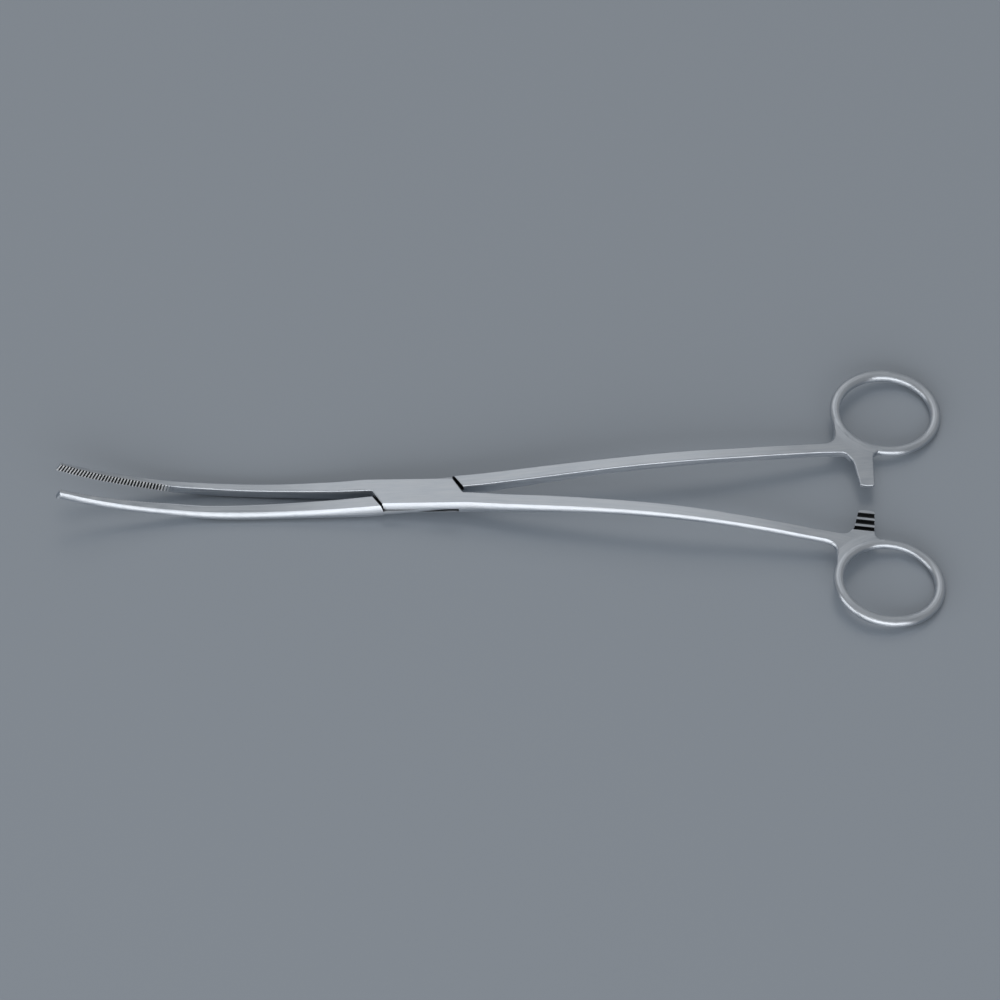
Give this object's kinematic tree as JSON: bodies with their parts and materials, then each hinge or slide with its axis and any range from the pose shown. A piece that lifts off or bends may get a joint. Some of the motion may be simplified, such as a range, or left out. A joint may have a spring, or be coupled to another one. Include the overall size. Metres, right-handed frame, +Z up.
{
  "type": "sponge holding forceps",
  "caption": "Long double-curved ring-handled forceps with slender serrated jaws, a box lock on a flush pin and an open finger ratchet.",
  "frame": {"origin": "centre of the bounding box in plan, on the surface the instrument lies on", "axes": "+X from the jaws to the finger rings along the instrument, +Y across the instrument in the plane of opening, +Z up from the surface it lies on"},
  "size_m": [0.2602, 0.0886, 0.0155],
  "materials": {
    "box_arm_steel": "satin, fine lengthwise brushing",
    "tongue_arm_steel": "satin, fine lengthwise brushing",
    "pin_steel": "satin, ground flush with the cheeks"
  },
  "bodies": {
    "box_arm": {"box_arm": "box_arm_steel", "pivot_pin": "pin_steel"},
    "tongue_arm": {"tongue_arm": "tongue_arm_steel"}
  },
  "joints": [
    {"name": "lock_hinge", "type": "hinge", "parent": "box_arm", "child": "tongue_arm", "pos_m": [-0.02414, 0, 0.00511], "axis": [-0.0846, 0, 0.9964], "range_deg": [-4.5, 40]}
  ]
}
